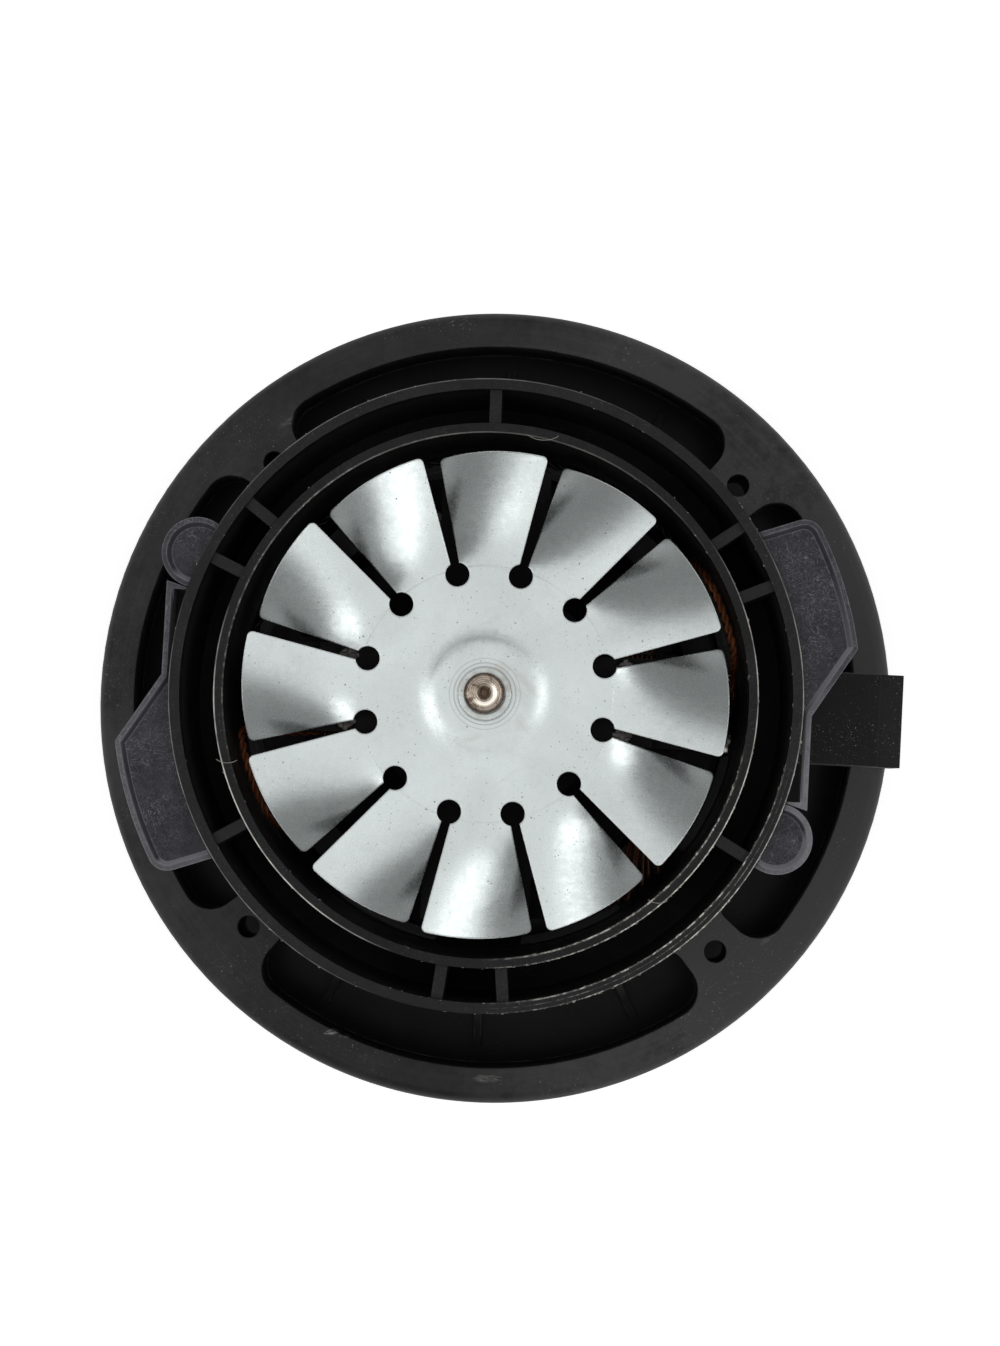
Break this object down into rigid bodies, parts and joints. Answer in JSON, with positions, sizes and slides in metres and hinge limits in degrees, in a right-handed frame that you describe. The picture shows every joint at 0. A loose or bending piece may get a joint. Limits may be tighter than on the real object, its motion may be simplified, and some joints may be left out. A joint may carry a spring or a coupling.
{
  "type": "vacuum motor unit",
  "caption": "Vacuum cleaner motor unit with a wide mounting flange, a double ring collar, a bladed cooling fan on top and an air inlet underneath.",
  "frame": {"origin": "on the shaft axis, at the inlet face that the unit stands on", "axes": "+Z along the shaft towards the cooling fan, +X towards the connector"},
  "size_m": [0.183, 0.183, 0.1305],
  "materials": {
    "bearing_steel": "ground and polished bearing steel",
    "black_plastic": "moulded black plastic, fine swirl marks, paler worn edges",
    "brass": "drawn brass",
    "carbon": "pressed carbon",
    "cast_alloy": "die cast alloy, slightly rough",
    "collar_plastic": "moulded black plastic with a grey violet cast, rubbed rims",
    "connector_plastic": "matt black plastic with pale dust specks",
    "copper": "bare turned copper",
    "enamel_copper": "copper wire under amber red enamel",
    "fan_steel": "zinc plated pressed sheet, pale blue grey, small dark specks and faint brown stains",
    "holder_plastic": "dark glass filled plastic",
    "impeller_alloy": "rolled aluminium sheet",
    "insulation": "cream insulating moulding",
    "lamination": "stacked steel sheets with bluish oxide and varnish",
    "lead_sleeve": "orange brown insulated lead",
    "phenolic": "dark brown moulded resin",
    "screw_steel": "zinc plated screw steel",
    "seal_rubber": "black rubber",
    "shaft_steel": "turned steel, brownish nickel tint, fine rings",
    "shell_steel": "zinc plated pressed steel"
  },
  "bodies": {
    "stator": {"base_flange": "black_plastic", "bearing_bridge": "holder_plastic", "bearing_wave_washer": "screw_steel", "bracket_screws": "screw_steel", "brush_holder_left": "holder_plastic", "brush_holder_right": "holder_plastic", "brush_holder_screws": "screw_steel", "brush_spring_left": "screw_steel", "brush_spring_right": "screw_steel", "brush_tube_left": "brass", "brush_tube_right": "brass", "coil_liner_left": "insulation", "coil_liner_right": "insulation", "connector_housing": "connector_plastic", "connector_screws": "screw_steel", "connector_terminals": "brass", "fan_end_bracket": "cast_alloy", "fan_shell": "shell_steel", "field_coil_left": "enamel_copper", "field_coil_right": "enamel_copper", "housing_screws": "screw_steel", "inner_ring": "collar_plastic", "lead_wire_long": "lead_sleeve", "lead_wire_short": "lead_sleeve", "lower_bearing_outer_race": "bearing_steel", "motor_housing": "black_plastic", "outer_collar": "collar_plastic", "shaft_seal": "seal_rubber", "stator_bolts": "screw_steel", "stator_core": "lamination", "upper_bearing_outer_race": "bearing_steel"},
    "rotor": {"shaft": "shaft_steel", "armature_core": "lamination", "armature_winding": "enamel_copper", "armature_end_discs": "insulation", "commutator_hub": "phenolic", "commutator_bars": "copper", "lower_bearing_inner_race": "bearing_steel", "upper_bearing_inner_race": "bearing_steel", "impeller_front_disc": "impeller_alloy", "impeller_back_disc": "impeller_alloy", "impeller_vanes": "impeller_alloy", "impeller_spacer": "shaft_steel", "impeller_washer": "screw_steel", "impeller_nut": "screw_steel", "cooling_fan": "fan_steel", "fan_hub": "shaft_steel"},
    "brush_right": {"carbon_brush_right": "carbon"},
    "brush_left": {"carbon_brush_left": "carbon"},
    "lower_balls": {"lower_bearing_balls": "bearing_steel"},
    "upper_balls": {"upper_bearing_balls": "bearing_steel"}
  },
  "joints": [
    {"name": "rotor_spin", "type": "hinge", "parent": "stator", "child": "rotor", "pos_m": [0, 0, 0], "axis": [0, 0, 1], "continuous": true},
    {"name": "brush_right_slide", "type": "slide", "parent": "stator", "child": "brush_right", "axis": [1, 0, 0], "range_m": [0, 0.007], "stiffness_N_per_m": 250, "springref_m": -0.012, "deforming": ["brush_spring_right"]},
    {"name": "brush_left_slide", "type": "slide", "parent": "stator", "child": "brush_left", "axis": [-1, 0, 0], "range_m": [0, 0.007], "stiffness_N_per_m": 250, "springref_m": -0.012, "deforming": ["brush_spring_left"]},
    {"name": "lower_ball_orbit", "type": "hinge", "parent": "stator", "child": "lower_balls", "pos_m": [0, 0, 0.0315], "axis": [0, 0, 1], "continuous": true},
    {"name": "upper_ball_orbit", "type": "hinge", "parent": "stator", "child": "upper_balls", "pos_m": [0, 0, 0.1172], "axis": [0, 0, 1], "continuous": true}
  ],
  "couplings": [
    {"joint": "lower_ball_orbit", "follows": "rotor_spin", "ratio": 0.368},
    {"joint": "upper_ball_orbit", "follows": "rotor_spin", "ratio": 0.368}
  ]
}
